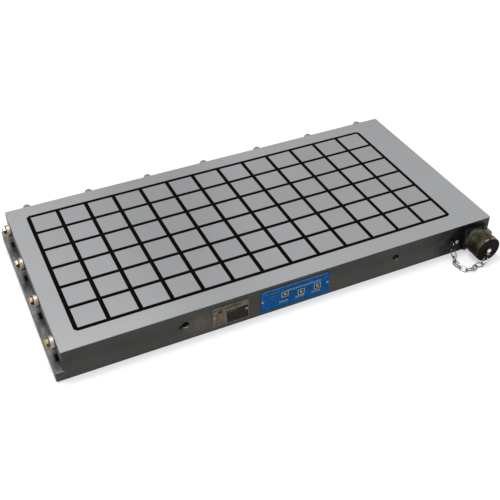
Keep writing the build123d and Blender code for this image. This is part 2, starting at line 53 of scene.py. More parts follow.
# %% Sizes of the chuck
from math import cos, pi, radians, sin, tau

import bmesh
import bpy
from mathutils import Euler, Matrix, Vector

MM = 0.001
body_low, body_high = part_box("body_block")
near_wall, far_wall = body_low.y, body_high.y
face_level = body_high.z
ledge_width = 14.0 * MM
left_wall = body_low.x + ledge_width
hole_spacing = 400.0 * MM
hole_level = 33.0 * MM
stop_axis_level = 48.5 * MM
print("working face at", round(face_level / MM, 1), "mm above the table")

# %% [markdown]
# The camera decides every later judgement of colour and size, so it is placed before any finish.
# It looks down at the plate from the front left, with a moderate long lens and a very slight roll.
# An azimuth of zero would be straight from the front, and positive elevations look down.
# The lens is given in millimetres on a sensor 36 mm wide, which is Blender's usual one.

# %% Place the camera
camera_data = bpy.data.cameras.new("camera")
camera_data.lens = 58.46
camera_data.sensor_width = 36.0
camera_data.clip_start = 0.01
camera_data.clip_end = 100.0
camera = bpy.data.objects.new("camera", camera_data)
bpy.context.scene.collection.objects.link(camera)
camera_azimuth = radians(-24.86)
camera_elevation = radians(38.98)
camera_roll = radians(-0.32)
camera.location = (-0.501, -1.097, 0.9503)
turn = Euler((pi / 2 - camera_elevation, 0, camera_azimuth)).to_matrix()
camera.rotation_euler = (turn @ Matrix.Rotation(camera_roll, 3, "Z")).to_euler()
bpy.context.scene.camera = camera
print("camera lens:", camera_data.lens, "mm")

# %% [markdown]
# Every finish is a small network of shading nodes around one principled shader.
# Four helpers keep the networks readable: one adds a node and joins its inputs, one starts a new finish,
# one joins what varies to the shader, and one puts a finish on solids by name.
# A value that is the same all over is set on the shader itself, and only what varies is joined to a node.

# %% Helpers for finishes
def add(tree, kind, inputs=None, **settings):
    """Adds a shading node. An input may be a plain value or another node's output."""
    node = tree.nodes.new(kind)
    for key, value in settings.items():
        setattr(node, key, value)
    for key, value in (inputs or {}).items():
        if isinstance(value, bpy.types.NodeSocket):
            tree.links.new(value, node.inputs[key])
        else:
            node.inputs[key].default_value = value
    return node


def new_finish(name, metallic, roughness):
    """A material with one principled shader, returned with its tree and shader."""
    made = bpy.data.materials.new(name)
    made.use_nodes = True
    shader = made.node_tree.nodes["Principled BSDF"]
    shader.inputs["Metallic"].default_value = metallic
    shader.inputs["Roughness"].default_value = roughness
    shader.inputs["Base Color"].default_value = (0.5, 0.5, 0.5, 1.0)
    return made, made.node_tree, shader


def feed(tree, shader, **outputs):
    """Joins node outputs to the shader's sockets: base_color goes to Base Color."""
    for key, output in outputs.items():
        tree.links.new(output, shader.inputs[key.replace("_", " ").title()])


def wear(made, *names):
    """Puts a finish on solids or pieces, in all their material slots."""
    for name in names:
        mesh = bpy.data.objects[name].data
        mesh.materials.clear()
        mesh.materials.append(made)


print("helpers ready")

# %% [markdown]
# The studio is a pale floor under a pale sky, with one soft lamp overhead and a weak one at the left.
# A ground metal face shows little light of its own: what looks like its colour is the sky that it mirrors.
# The sky is therefore even at the heights that the working face mirrors, and dims towards the horizon,
# which gives the small round and shiny parts their dark edges.
# It is also a little brighter at the left, because the left end of the real face is the lighter one.
# Just above the far end of the floor, a low band of the sky is white, as a studio's backdrop would be.
# Colours are shown without a film curve, so that the white of the floor stays white.

# %% Build the studio
scene = bpy.context.scene
scene.view_settings.view_transform = "Standard"
floor_reach = 60.0
floor_mesh = bpy.data.meshes.new("floor")
floor_corners = [(-floor_reach, -floor_reach, 0), (floor_reach, -floor_reach, 0)]
floor_corners += [(floor_reach, floor_reach, 0), (-floor_reach, floor_reach, 0)]
floor_mesh.from_pydata(floor_corners, [], [(0, 1, 2, 3)])
floor = bpy.data.objects.new("floor", floor_mesh)
floor.location.z = -0.0002
scene.collection.objects.link(floor)

world = bpy.data.worlds.new("studio")
world.use_nodes = True
scene.world = world
sky_tree = world.node_tree
sky_direction = add(sky_tree, "ShaderNodeTexCoord").outputs["Generated"]
sky_parts = add(sky_tree, "ShaderNodeSeparateXYZ", {"Vector": sky_direction})
by_height = {"Value": sky_parts.outputs["Z"], "From Min": 0.05, "From Max": 0.45}
by_height |= {"To Min": 0.3, "To Max": 1.0}
height_share = add(sky_tree, "ShaderNodeMapRange", by_height).outputs["Result"]
by_side = {"Value": sky_parts.outputs["X"], "From Min": -0.05, "From Max": 0.2}
by_side |= {"To Min": 1.08, "To Max": 0.8}
side_share = add(sky_tree, "ShaderNodeMapRange", by_side).outputs["Result"]
sky_share = add(sky_tree, "ShaderNodeMath", {0: height_share, 1: side_share}, operation="MULTIPLY")
sky_strength = add(sky_tree, "ShaderNodeMath", {0: sky_share.outputs[0], 1: 0.95}, operation="MULTIPLY")
low_band = {"Value": sky_parts.outputs["Z"], "From Min": 0.04, "From Max": 0.06}
low_band |= {"To Min": 1.0, "To Max": 0.0}
backdrop = add(sky_tree, "ShaderNodeMapRange", low_band).outputs["Result"]
with_backdrop = {0: sky_strength.outputs[0], 1: backdrop}
shown_strength = add(sky_tree, "ShaderNodeMath", with_backdrop, operation="MAXIMUM")
sky = sky_tree.nodes["Background"]
sky.inputs["Color"].default_value = (1.0, 1.0, 1.0, 1.0)
sky_tree.links.new(shown_strength.outputs[0], sky.inputs["Strength"])


def soft_lamp(name, place, target, size, power):
    """A square area lamp that points at a target."""
    data = bpy.data.lights.new(name, "AREA")
    data.size = size
    data.energy = power
    lamp = bpy.data.objects.new(name, data)
    lamp.location = place
    aim = Vector(target) - Vector(place)
    lamp.rotation_euler = aim.to_track_quat("-Z", "Y").to_euler()
    scene.collection.objects.link(lamp)
    return lamp


soft_lamp("overhead_lamp", (-0.25, 0.35, 2.7), (0, 0, 0), 0.7, 36.0)
soft_lamp("left_lamp", (-2.2, -1.0, 1.5), (0, 0, 0), 1.2, 8.0)

# %% [markdown]
# Most real surfaces differ from place to place in two ways: a soft cloudy change of tone,
# and fine grain at a much smaller scale.
# These helpers make both from noise that is fixed in space, so nothing depends on unwrapped meshes.
# A stretched noise gives the parallel lines that grinding and milling leave.

# %% Helpers for grain
def places(tree):
    """The position in metres, as every solid's own mesh has it."""
    return add(tree, "ShaderNodeTexCoord").outputs["Object"]


def stretched(tree, scale):
    """The position with each axis scaled, for grain that runs one way."""
    return add(tree, "ShaderNodeMapping", {"Vector": places(tree), "Scale": scale}).outputs["Vector"]


def noise(tree, vector, scale, detail=3.0, roughness=0.5):
    """Noise from 0 to 1 over a vector."""
    inputs = {"Vector": vector, "Scale": scale, "Detail": detail, "Roughness": roughness}
    return add(tree, "ShaderNodeTexNoise", inputs).outputs["Fac"]


def blend(tree, share, first, second):
    """A colour that goes from first to second with share."""
    node = add(tree, "ShaderNodeMix", data_type="RGBA")
    for index, value in ((0, share), (6, first), (7, second)):
        if isinstance(value, bpy.types.NodeSocket):
            tree.links.new(value, node.inputs[index])
        else:
            node.inputs[index].default_value = (*value, 1.0)
    return node.outputs[2]


def bumps(tree, height, depth):
    """A bumped normal from a height, with the depth in metres."""
    inputs = {"Height": height, "Distance": depth, "Strength": 1.0}
    return add(tree, "ShaderNodeBump", inputs).outputs["Normal"]


print("grain helpers ready")

# %% [markdown]
# The rest of a finish is arithmetic on the position: where a stain starts, how far a line reaches,
# which way a surface looks. A shading network does one sum in each node.
# Short functions named after the sums keep such formulas readable.

# %% Helpers for sums in the shader
def spread(tree, value, low, high, to_low=0.0, to_high=1.0):
    """Maps a value from one range to another and holds it at the ends."""
    inputs = {"Value": value, "From Min": low, "From Max": high, "To Min": to_low, "To Max": to_high}
    return add(tree, "ShaderNodeMapRange", inputs).outputs["Result"]


def sums(tree, kind, first, second=0.5):
    """One sum of two values."""
    return add(tree, "ShaderNodeMath", {0: first, 1: second}, operation=kind).outputs[0]


def product(tree, first, second):
    """Both values multiplied."""
    return sums(tree, "MULTIPLY", first, second)


def distance(tree, across, along):
    """How far a point lies from the origin of two coordinates."""
    squares = [sums(tree, "POWER", value, 2.0) for value in (across, along)]
    return sums(tree, "SQRT", sums(tree, "ADD", *squares))


def from_nearest(tree, value, pitch):
    """How far a value lies from the nearest whole number of pitches."""
    limits = {0: value, 1: pitch / 2, 2: -pitch / 2}
    return sums(tree, "ABSOLUTE", add(tree, "ShaderNodeMath", limits, operation="WRAP").outputs[0])


def vectors(tree, kind, first, second=(0.0, 0.0, 0.0)):
    """One sum of two vectors."""
    return add(tree, "ShaderNodeVectorMath", {0: first, 1: second}, operation=kind).outputs["Vector"]


def length(tree, vector):
    """The length of a vector."""
    return add(tree, "ShaderNodeVectorMath", {0: vector}, operation="LENGTH").outputs["Value"]


def coordinate(tree, axis):
    """One coordinate of the position, in metres: X, Y or Z."""
    return add(tree, "ShaderNodeSeparateXYZ", {"Vector": places(tree)}).outputs[axis]


def beyond(tree, axis, start):
    """How far a point lies past a place along X, Y or Z, in metres."""
    return sums(tree, "SUBTRACT", coordinate(tree, axis), start)


def facing(tree, axis):
    """One part of the surface's own direction: 1 for Z means that it looks straight up."""
    normal = add(tree, "ShaderNodeTexCoord").outputs["Normal"]
    return add(tree, "ShaderNodeSeparateXYZ", {"Vector": normal}).outputs[axis]


print("sum helpers ready")

# %% [markdown]
# The working face is ground: a wide wheel leaves very fine lines along the length.
# From a metre away the lines vanish and the face looks like even satin with a faint sparkle,
# so their height is only a few micrometres and their colour hardly changes.
# Body and poles are ground together, in one pass, and so they share these functions.
# A broad band across the left third is painted a little darker, and the face right of it a little lighter,
# as painted reflection.

# %% Tones of the ground face
def painted_reflection_band(tree):
    """Painted reflection: the share of tone that the ground face keeps, less in the band and a little more
    right of it.
    """
    enters = spread(tree, coordinate(tree, "X"), -0.27, -0.19, 1.0, 0.89)
    slanted = sums(tree, "SUBTRACT", coordinate(tree, "X"), product(tree, coordinate(tree, "Y"), 0.2))
    leaves = spread(tree, slanted, -0.1, 0.03, 0.0, 0.15)
    return sums(tree, "ADD", enters, leaves)


def ground_tone(tree, bright, dull):
    """The colour of the ground face: slow clouds, lines along X and a fine sparkle."""
    clouds = noise(tree, stretched(tree, (2.2, 3.0, 3.0)), 1.6, 4.0, 0.55)
    lines = noise(tree, stretched(tree, (6.0, 900.0, 900.0)), 1.0, 2.0)
    sparkle = noise(tree, places(tree), 520.0, 2.0, 0.8)
    slow = sums(tree, "ADD", product(tree, clouds, 0.5), product(tree, lines, 0.2))
    share = sums(tree, "ADD", slow, product(tree, sparkle, 0.3))
    tone = blend(tree, spread(tree, share, 0.32, 0.68), dull, bright)
    # The painted reflection band scales the tone.
    scaled = {0: tone, "Scale": painted_reflection_band(tree)}
    return add(tree, "ShaderNodeVectorMath", scaled, operation="SCALE").outputs["Vector"], lines


print("ground face from", round(left_wall / MM, 1), "mm to the right")

# %% [markdown]
# Along every resin line the steel's edge is broken and stained, and reads as a hair of dark outline.
# It could be drawn as an image, but then its edges would blur when seen from near.
# Here the shader works it out: each pole's edge from the distance to the pole's middle,
# and the body's edge from the distance to a rounded rectangle.

# %% Outlines along the resin
pocket_low, pocket_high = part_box("resin_grid")
grid_pitch = 54.0 * MM
pole_width = 48.0 * MM
rim_line = 6.0 * MM
pocket_corner = 8.0 * MM
outline_width = 0.45 * MM
widest_stain = 0.34 * MM
first_edge = (pocket_low.x + rim_line, pocket_low.y + rim_line)
outline_black = (0.004, 0.004, 0.004)


def from_pole_middle(tree, axis, start):
    """How far a point lies from the middle of its pole along X or Y, in metres."""
    return from_nearest(tree, beyond(tree, axis, start + pole_width / 2), grid_pitch)


def line_growth(tree):
    """The stain along the lines is widest at the left end, in metres."""
    return spread(tree, coordinate(tree, "X"), 0.0, pocket_high.x, widest_stain, 0.0)


def pole_outline(tree):
    """1 along the edge of a pole, 0 inside."""
    along_x = from_pole_middle(tree, "X", first_edge[0])
    along_y = from_pole_middle(tree, "Y", first_edge[1])
    wide = sums(tree, "ADD", sums(tree, "MAXIMUM", along_x, along_y), line_growth(tree))
    return spread(tree, wide, pole_width / 2 - 0.5 * MM, pole_width / 2 - 0.3 * MM)


def pocket_outline(tree):
    """1 along the outer edge of the resin, 0 farther out on the body."""
    parts = []
    for axis, low, high in (("X", pocket_low.x, pocket_high.x), ("Y", pocket_low.y, pocket_high.y)):
        away = sums(tree, "ABSOLUTE", beyond(tree, axis, (low + high) / 2))
        outside = sums(tree, "SUBTRACT", away, (high - low) / 2 - pocket_corner)
        parts.append(sums(tree, "MAXIMUM", outside, 0.0))
    reach = sums(tree, "ADD", line_growth(tree), pocket_corner)
    past_edge = sums(tree, "SUBTRACT", distance(tree, *parts), reach)
    return spread(tree, past_edge, outline_width * 0.7, outline_width, 1.0, 0.0)


print("pole pitch:", round(grid_pitch / MM, 1), "mm")

# %% [markdown]
# The sides of the body were milled and oiled, and their dark tone is painted shade; towards the table they
# are painted lighter, as painted light.
# A warm, lighter patch lies right of the left lifting hole, where oil has run and dried,
# and the wall behind the connector is painted nearly black, as painted shade. Painted shade also lies on the
# wall round the left stops and inside the lifting holes.
# Each mark is a soft shape at its own place, with a ragged edge from noise.

# %% Tones of the milled sides
stop_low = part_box("left_stop_1")[0]
next_stop_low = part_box("left_stop_2")[0]
stop_pitch = next_stop_low.y - stop_low.y
oil_place = (-0.176, near_wall, 0.024)
drip_place = (-0.2085, near_wall, 0.031)
# The middle of the painted shade behind the connector.
connector_shade_place = (0.338, near_wall, 0.018)


def patch(tree, centre, radius):
    """A soft round patch on a wall: 1 at its centre, 0 outside, with a ragged edge."""
    from_centre = length(tree, vectors(tree, "SUBTRACT", places(tree), centre))
    edge = noise(tree, places(tree), 55.0, 4.0, 0.6)
    ragged = spread(tree, edge, 0.3, 0.7, -0.35 * radius, 0.35 * radius)
    shifted = sums(tree, "ADD", from_centre, ragged)
    return spread(tree, shifted, radius * 0.2, radius, 1.0, 0.0)


def from_stop(tree, drift):
    """How far a point lies along Y from the nearest stop, or from a place a little nearer the front."""
    along = sums(tree, "ADD", coordinate(tree, "Y"), stop_pitch / 2 + drift)
    return from_nearest(tree, along, stop_pitch)


def bore_tone(tree, side):
    """The lifting holes are painted dark inside, as painted shade."""
    from_hole = sums(tree, "SUBTRACT", sums(tree, "ABSOLUTE", coordinate(tree, "X")), hole_spacing / 2)
    from_axis = distance(tree, from_hole, beyond(tree, "Z", hole_level))
    in_bore = spread(tree, from_axis, 6.0 * MM, 6.3 * MM, 1.0, 0.0)
    # Painted shade inside the bores.
    return blend(tree, in_bore, side, (0.006, 0.0055, 0.005))


def stop_shade_on_wall(tree, side):
    """Painted shade on the left wall, round and under each stop."""
    from_axis = distance(tree, from_stop(tree, 0.0), beyond(tree, "Z", stop_axis_level - 3.0 * MM))
    shade_ring = spread(tree, from_axis, 11.0 * MM, 16.0 * MM, 1.0, 0.0)
    at_left = spread(tree, coordinate(tree, "X"), left_wall - 1.0 * MM, left_wall + 1.0 * MM, 1.0, 0.0)
    # Painted shade round and under each stop.
    return blend(tree, product(tree, shade_ring, at_left), side, (0.008, 0.006, 0.005))


def side_tone(tree):
    """Milled and oiled walls: a cool grey that is dark as painted shade, painted lighter towards the table
    as painted light, with a few marks.
    """
    mottle = noise(tree, stretched(tree, (5.0, 5.0, 11.0)), 2.4, 5.0, 0.6)
    specks = noise(tree, places(tree), 260.0, 3.0, 0.7)
    share = sums(tree, "ADD", product(tree, mottle, 0.75), product(tree, specks, 0.25))
    # Painted shade: the walls' grey is far darker than the working face.
    side = blend(tree, spread(tree, share, 0.36, 0.64), (0.038, 0.039, 0.037), (0.062, 0.062, 0.058))
    # Painted light: the walls are painted lighter towards the table.
    painted_light_below = spread(tree, coordinate(tree, "Z"), 0.0, 34.0 * MM, 0.55, 0.0)
    side = blend(tree, painted_light_below, side, (0.088, 0.088, 0.083))
    dried_oil = product(tree, patch(tree, oil_place, 36.0 * MM), 0.5)
    side = blend(tree, dried_oil, side, (0.125, 0.105, 0.088))
    side = blend(tree, patch(tree, drip_place, 7.0 * MM), side, (0.006, 0.005, 0.004))
    # Painted shade: the wall behind the connector is painted nearly black.
    stain = product(tree, patch(tree, connector_shade_place, 62.0 * MM), 0.9)
    side = blend(tree, stain, side, (0.008, 0.0075, 0.006))
    return stop_shade_on_wall(tree, bore_tone(tree, side)), mottle


print("stops are", round(stop_pitch / MM, 1), "mm apart")

# %% [markdown]
# On the clamping ledges, chips and clamps have left short streaks, with a little rust.
# Below each stop, a dark spot on the ledge is painted shadow of the stop, slightly nearer the front,
# with a fainter painted trail to both sides of the spot. The spots hug the wall.

# %% Tones of the ledges
# How far nearer the front each painted shadow lies.
shadow_drift = 8.0 * MM


def stop_shadows_on_ledge(tree, chips):
    """How much painted shadow lies on the left ledge: spots against the wall, with broken trails."""
    from_wall = sums(tree, "ABSOLUTE", beyond(tree, "X", left_wall))
    against_wall = spread(tree, from_wall, 4.0 * MM, 9.0 * MM, 1.0, 0.0)
    from_spot = from_stop(tree, shadow_drift)
    shadow_spot = spread(tree, from_spot, 7.0 * MM, 12.0 * MM, 1.0, 0.0)
    fading = spread(tree, from_spot, 8.0 * MM, 26.0 * MM, 0.55, 0.0)
    shadow_trail = product(tree, fading, spread(tree, chips, 0.3, 0.5))
    return product(tree, against_wall, sums(tree, "MAXIMUM", shadow_spot, shadow_trail))


def ledge_tone(tree):
    """The top of a clamping ledge: short bright streaks, clouds of rust and painted shadows under the stops.
    """
    streaks = noise(tree, stretched(tree, (60.0, 14.0, 14.0)), 2.4, 5.0, 0.7)
    chips = noise(tree, places(tree), 330.0, 4.0, 0.75)
    share = sums(tree, "ADD", product(tree, streaks, 0.6), product(tree, chips, 0.4))
    ledge = blend(tree, spread(tree, share, 0.36, 0.62), (0.10, 0.10, 0.10), (0.34, 0.34, 0.345))
    rust = spread(tree, noise(tree, places(tree), 42.0, 4.0, 0.65), 0.5, 0.66, 0.0, 0.5)
    ledge = blend(tree, rust, ledge, (0.15, 0.105, 0.075))
    # Painted shadows of the stops on the ledge, near black.
    return blend(tree, stop_shadows_on_ledge(tree, chips), ledge, (0.004, 0.004, 0.004))


print("ledges are", round(ledge_width / MM, 1), "mm wide")

# %% [markdown]
# The body is one solid, so one finish has to tell its faces apart.
# Whether a point is face, ledge or side is read from its height and from the way the surface looks.
# Bare steel is fully metallic, but the dark outline isn't: a metal would mirror the sky there as well.

# %% Steel of the body
def body_steel():
    """Ground working face, streaked ledges and milled sides that are dark as painted shade."""
    made, tree, shader = new_finish("body_steel", 1.0, 0.34)
    top, lines = ground_tone(tree, (0.455, 0.462, 0.472), (0.405, 0.412, 0.422))
    outline = pocket_outline(tree)
    top = blend(tree, outline, top, outline_black)
    side, mottle = side_tone(tree)
    looks_up = spread(tree, facing(tree, "Z"), 0.4, 0.6)
    is_top = spread(tree, coordinate(tree, "Z"), face_level - 2.0 * MM, face_level - 1.0 * MM)
    level = blend(tree, looks_up, side, blend(tree, is_top, ledge_tone(tree), top))
    is_side = spread(tree, looks_up, 0.0, 1.0, 1.0, 0.0)
    side_rough = product(tree, spread(tree, mottle, 0.3, 0.7, 0.44, 0.56), is_side)
    roughness = sums(tree, "ADD", side_rough, spread(tree, looks_up, 0.0, 1.0, 0.0, 0.34))
    bare = sums(tree, "SUBTRACT", 1.0, product(tree, outline, looks_up))
    shader.inputs["Specular IOR Level"].default_value = 0.0
    feed(tree, shader, base_color=level, metallic=bare, roughness=roughness)
    feed(tree, shader, normal=bumps(tree, lines, 4e-6))
    return made


wear(body_steel(), "body_block")
print("body finished")

# %% [markdown]
# The poles are squares of softer iron, so the wheel leaves each a slightly different grey.
# A white-noise node turns the number of each pole, its column and row, into its own small change of tone.

# %% Steel of the poles
def pole_steel():
    """The ground iron of the poles, each of which came from its own bar."""
    made, tree, shader = new_finish("pole_steel", 1.0, 0.34)
    top, lines = ground_tone(tree, (0.435, 0.44, 0.45), (0.388, 0.394, 0.403))
    from_corner = vectors(tree, "ADD", places(tree), (-first_edge[0], -first_edge[1], 0.0))
    cells = vectors(tree, "MULTIPLY", from_corner, (1 / grid_pitch, 1 / grid_pitch, 0.0))
    own = vectors(tree, "FLOOR", cells)
    chance = add(tree, "ShaderNodeTexWhiteNoise", {"Vector": own}).outputs["Value"]
    tinted = blend(tree, spread(tree, chance, 0, 1, 0, 0.4), top, (0.36, 0.37, 0.378))
    outline = pole_outline(tree)
    outlined = blend(tree, outline, tinted, outline_black)
    bare = sums(tree, "SUBTRACT", 1.0, outline)
    shader.inputs["Specular IOR Level"].default_value = 0.0
    feed(tree, shader, base_color=outlined, metallic=bare, normal=bumps(tree, lines, 4e-6))
    return made


rows = range(1, 7)
wear(pole_steel(), *[f"poles_row_{row}" for row in rows])
print("poles in", len(rows), "rows")

# %% [markdown]
# Black epoxy resin fills the gaps between the poles and was ground flush with them.
# Grinding leaves it satin rather than glossy, and fine metal dust greys it a little.
# Under the resin lie magnets and coils. They are hidden here, but the model can be opened,
# so they get their own finishes: nickel on the magnets and copper-coloured varnish on the coils.
# Most of these finishes are two tones joined by a cloudy noise, so that gets a helper.

# %% Resin, magnets and coils
def cloudy(tree, clouds, dark, light, low=0.36, high=0.64):
    """A tone that goes from dark to light with a noise. Low and high say where it starts and ends."""
    return blend(tree, spread(tree, clouds, low, high), dark, light)


def resin():
    """Black epoxy with a trace of dust."""
    made, tree, shader = new_finish("resin", 0.0, 0.5)
    shader.inputs["Specular IOR Level"].default_value = 0.02
    dust = noise(tree, places(tree), 260.0, 4.0, 0.7)
    tone = cloudy(tree, dust, (0.0008, 0.0008, 0.001), (0.0035, 0.0035, 0.004), 0.45, 0.8)
    feed(tree, shader, base_color=tone)
    return made


def cast_magnet():
    """The grey, slightly pitted skin of a cast magnet."""
    made, tree, shader = new_finish("cast_magnet", 0.9, 0.5)
    pits = noise(tree, places(tree), 900.0, 4.0, 0.6)
    tone = blend(tree, pits, (0.2, 0.2, 0.2), (0.42, 0.41, 0.4))
    feed(tree, shader, base_color=tone, normal=bumps(tree, pits, 1e-4))
    return made


def nickel_magnet():
    """A nickel-plated magnet."""
    made, tree, shader = new_finish("nickel_magnet", 1.0, 0.22)
    clouds = noise(tree, places(tree), 60.0)
    feed(tree, shader, base_color=blend(tree, clouds, (0.55, 0.52, 0.47), (0.68, 0.65, 0.6)))
    return made


def winding():
    """Varnished copper wire: ridges one wire apart around the coil."""
    made, tree, shader = new_finish("winding", 0.85, 0.32)
    turns = add(tree, "ShaderNodeTexWave", {"Vector": places(tree), "Scale": 320.0}, bands_direction="Z")
    ridge = turns.outputs["Fac"]
    tone = blend(tree, ridge, (0.28, 0.09, 0.03), (0.72, 0.33, 0.14))
    feed(tree, shader, base_color=tone, normal=bumps(tree, ridge, 4e-4))
    return made


wear(resin(), "resin_grid")
wear(cast_magnet(), *[f"core_magnets_row_{row}" for row in rows])
wear(nickel_magnet(), "cross_magnets", "long_magnets")
wear(winding(), *[f"coils_row_{row}" for row in rows])
print("resin, magnets and coils finished")

# %% [markdown]
# Some small shapes are finer than the solids: chamfered screw heads and threads.
# They are built as plain meshes: a list of points is written first, and then the faces between them.
# Every wall piece is first made standing on the origin, with its axis along Z, and then set on its wall.
# Setting it means turning Z to the direction out of the wall, so one recipe serves all walls.

# %% Helpers for added pieces
def on_wall(place, outward):
    """The change of place that sets an upright shape on a wall."""
    turned = Vector(outward).to_track_quat("Z", "Y").to_matrix().to_4x4()
    return Matrix.Translation(Vector(place)) @ turned


def add_piece(name, shapes, body, finish):
    """One mesh object from several (corners, faces, change of place), riding on a body."""
    corners, faces = [], []
    for own_corners, own_faces, change in shapes:
        base = len(corners)
        corners += [tuple(change @ Vector(corner)) for corner in own_corners]
        faces += [tuple(base + index for index in face) for face in own_faces]
    mesh = bpy.data.meshes.new(name)
    mesh.from_pydata(corners, [], faces)
    mesh.materials.append(finish)
    built = bmesh.new()
    built.from_mesh(mesh)
    bmesh.ops.recalc_face_normals(built, faces=built.faces)
    built.to_mesh(mesh)
    built.free()
    mesh.shade_smooth()
    mesh.set_sharp_from_angle(angle=radians(32))
    piece = bpy.data.objects.new(name, mesh)
    scene.collection.objects.link(piece)
    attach(piece, body)
    return piece


print("helpers for pieces ready")

# %% [markdown]
# Round stops on the left and far sides align the workpiece, and each turns on its own screw.
# They are turned from bright steel and are rubbed, so their rims are pale and their faces stained.
# Their lower parts, and the far stops as a whole, are painted darker, as painted shade.
# The screws are zinc with a yellow film. The film differs along the plate: the screw nearest the front
# is golden, and the others are coppery. Their ends and tops are painted bright, as painted highlight,
# and their other flats brown-dark, as painted shade. The washers are plain, and dark brown on the left side.

# %% Finishes of the stops and their screws
def on_left_side(tree, share=1.0):
    """The given share on the left wall's pieces, 0 on all others."""
    return spread(tree, coordinate(tree, "X"), left_wall, left_wall + 2.0 * MM, share, 0.0)


def turned_steel():
    """Bright steel with the fine rings of a lathe tool and brown stains, painted dark below and duller on
    the far side, as painted shade.
    """
    made, tree, shader = new_finish("turned_steel", 1.0, 0.52)
    rings = noise(tree, stretched(tree, (700.0, 700.0, 700.0)), 1.0, 2.0)
    warm = noise(tree, places(tree), 110.0, 4.0, 0.6)
    tone = cloudy(tree, warm, (0.44, 0.39, 0.33), (0.54, 0.50, 0.45), 0.38, 0.62)
    stain = noise(tree, places(tree), 190.0, 4.0, 0.7)
    tone = cloudy(tree, stain, tone, (0.16, 0.10, 0.065), 0.56, 0.68)
    # Painted shade: the lower part of each stop is painted dark.
    lower = spread(tree, coordinate(tree, "Z"), face_level - 19.0 * MM, face_level - 13.0 * MM, 0.85, 0.0)
    tone = blend(tree, lower, tone, (0.06, 0.042, 0.03))
    # Painted shade: the far stops are painted a duller grey.
    far_side_shade = spread(tree, coordinate(tree, "Y"), far_wall - 1.0 * MM, far_wall)
    tone = blend(tree, far_side_shade, tone, (0.28, 0.28, 0.285))
    feed(tree, shader, base_color=tone, normal=bumps(tree, rings, 6e-6))
    return made


def yellow_zinc():
    """Zinc with a yellow film: its end faces and upward faces painted bright as painted highlight, its other
    flats painted brown-dark as painted shade.
    """
    made, tree, shader = new_finish("yellow_zinc", 1.0, 0.34)
    coppery = spread(tree, coordinate(tree, "Y"), -125.0 * MM, -80.0 * MM)
    # Painted shade in the flats' brown-dark tone, painted highlight in the bright tones of the tops and
    # ends.
    flats = blend(tree, coppery, (0.13, 0.088, 0.02), (0.15, 0.082, 0.043))
    tops = blend(tree, coppery, (0.86, 0.76, 0.30), (0.90, 0.66, 0.48))
    ends = blend(tree, coppery, (0.98, 0.92, 0.50), (0.98, 0.84, 0.68))
    faces_left = product(tree, spread(tree, facing(tree, "X"), -0.9, -0.6, 1.0, 0.0), on_left_side(tree))
    is_end = sums(tree, "MAXIMUM", faces_left, spread(tree, facing(tree, "Y"), 0.6, 0.9))
    looks_up = spread(tree, facing(tree, "Z"), 0.75, 0.95, 0.0, 0.75)
    film = blend(tree, is_end, blend(tree, looks_up, flats, tops), ends)
    spots = noise(tree, places(tree), 330.0, 4.0, 0.7)
    feed(tree, shader, base_color=cloudy(tree, spots, film, (0.07, 0.035, 0.018), 0.5, 0.66))
    return made


def washer_steel():
    """Plain grey washers, dark brown on the left side."""
    made, tree, shader = new_finish("washer_steel", 1.0, 0.5)
    oil = noise(tree, places(tree), 260.0, 4.0, 0.6)
    plain = blend(tree, oil, (0.28, 0.28, 0.278), (0.42, 0.42, 0.415))
    feed(tree, shader, base_color=blend(tree, on_left_side(tree, 0.9), plain, (0.085, 0.05, 0.028)))
    return made


stops = [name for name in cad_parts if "_stop_" in name]
wear(turned_steel(), *stops)
wear(washer_steel(), "stop_washers")
print("stops:", len(stops))

# %% [markdown]
# A real hexagon head isn't a bare prism: its corners are turned down by a cone, its top is slightly dished,
# and a washer face stands under it. All of this comes from one turned profile and one function of the angle.
# At each angle the hexagon's reach is the apothem over a cosine, and the cone takes off height with it.

# %% Shape of a hexagon screw
screw_flat = 6.5 * MM
head_start = 8.8 * MM
head_end = 14.1 * MM
washer_face = 0.4 * MM
head_dish = 0.9 * MM
shank_radius = 4.0 * MM
shank_depth = 15.0 * MM


def hexagon(angle, radius, height):
    """A turned radius pulled out to the hexagon, where the profile asks for its flats."""
    if radius < screw_flat or height < head_start:
        return radius, height
    reach = screw_flat / cos((angle + pi / 6) % (pi / 3) - pi / 6)
    if height > head_start + 1.0 * MM:
        height = height - (reach - screw_flat) * 0.9
    return reach, height


def revolve(profile, points, outline):
    """Points and faces of a turned shape. The profile lists (radius, height) from the foot to the top."""
    corners, faces = [], []
    for radius, height in profile:
        for place in range(points):
            angle = tau * place / points
            reach, level = outline(angle, radius, height)
            corners.append((reach * cos(angle), reach * sin(angle), level))
    for ring in range(len(profile) - 1):
        for place in range(points):
            after = (place + 1) % points
            first, second = ring * points, (ring + 1) * points
            faces.append((first + place, first + after, second + after, second + place))
    faces.append(tuple(range(points))[::-1])
    faces.append(tuple(range((len(profile) - 1) * points, len(profile) * points)))
    return corners, faces


def stop_screw_shape():
    """Shank, washer face, hexagon and dished top."""
    profile = [(shank_radius * 0.8, -shank_depth), (shank_radius, 0.8 * MM - shank_depth)]
    profile += [(shank_radius, head_start), (screw_flat * 0.94, head_start)]
    profile += [(screw_flat * 0.94, head_start + washer_face), (screw_flat, head_start + washer_face)]
    profile += [(screw_flat, head_end - head_dish), (screw_flat * 0.88, head_end)]
    profile += [(screw_flat * 0.72, head_end), (screw_flat * 0.6, head_end - 0.7 * MM)]
    profile += [(screw_flat * 0.3, head_end - head_dish), (0.2 * MM, head_end - head_dish)]
    return revolve(profile, 48, hexagon)


screw_corners, screw_faces = stop_screw_shape()
print("one screw:", len(screw_corners), "points")

# %% [markdown]
# One screw is set in the middle of each stop, across the wall, and at the common height of their axes.
# All eleven are one object, because identical fasteners share one node of the solids, which they replace.

